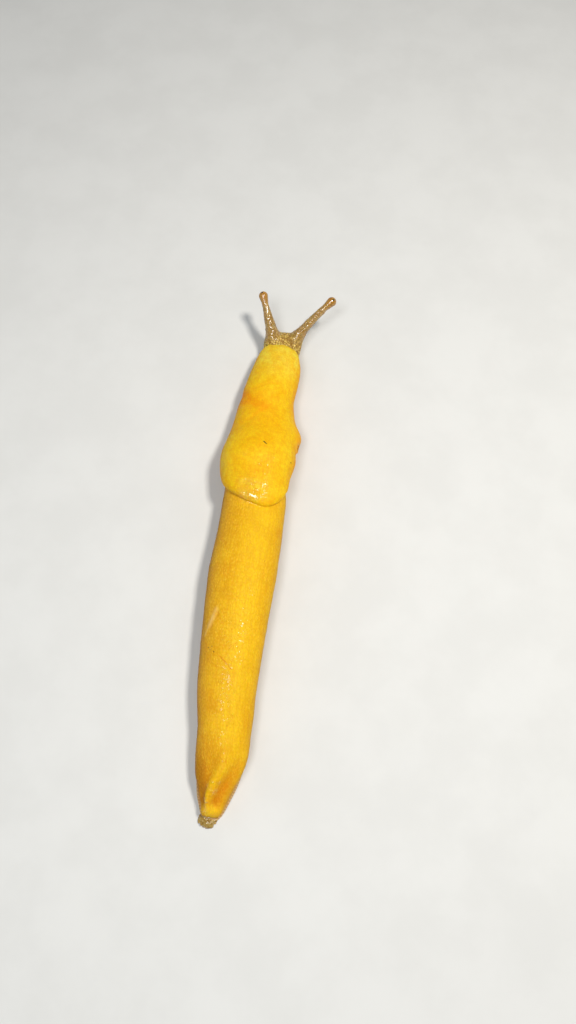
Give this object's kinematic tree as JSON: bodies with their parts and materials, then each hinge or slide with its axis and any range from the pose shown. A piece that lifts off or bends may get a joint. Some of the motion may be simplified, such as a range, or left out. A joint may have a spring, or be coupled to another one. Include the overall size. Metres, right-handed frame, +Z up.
{
  "type": "banana slug",
  "caption": "Golden yellow banana slug stretched out on its flat foot, with a humped mantle, a blunt keeled tail and both eye stalks raised.",
  "frame": {"origin": "on the flat sole, under the middle of the body", "axes": "+Y along the body towards the head, +X the animal's right, +Z up from the sole to the back"},
  "size_m": [0.0353, 0.2051, 0.0221],
  "materials": {
    "golden_skin": "wet golden yellow skin",
    "mantle_skin": "wet smooth yellow skin",
    "olive_skin": "wet translucent olive skin",
    "foot_skin": "wet pale cream skin",
    "eye_black": "gloss black",
    "mucus": "clear amber mucus"
  },
  "bodies": {
    "root": {"head": "olive_skin", "neck": "golden_skin", "trunk_front": "golden_skin", "trunk_mid": "golden_skin", "trunk_rear": "golden_skin", "tail": "golden_skin", "foot_front": "foot_skin", "foot_mid": "foot_skin", "foot_rear": "foot_skin", "foot_tail": "foot_skin", "mantle_hood": "mantle_skin", "mantle_shield": "mantle_skin", "pore_lip": "mantle_skin", "mouth_lobe_left": "olive_skin", "mouth_lobe_right": "olive_skin", "eye_stalk_left": "olive_skin", "eye_stalk_right": "olive_skin", "feeler_left": "olive_skin", "feeler_right": "olive_skin", "eye_left": "eye_black", "eye_right": "eye_black", "tail_mucus": "mucus"}
  },
  "joints": []
}
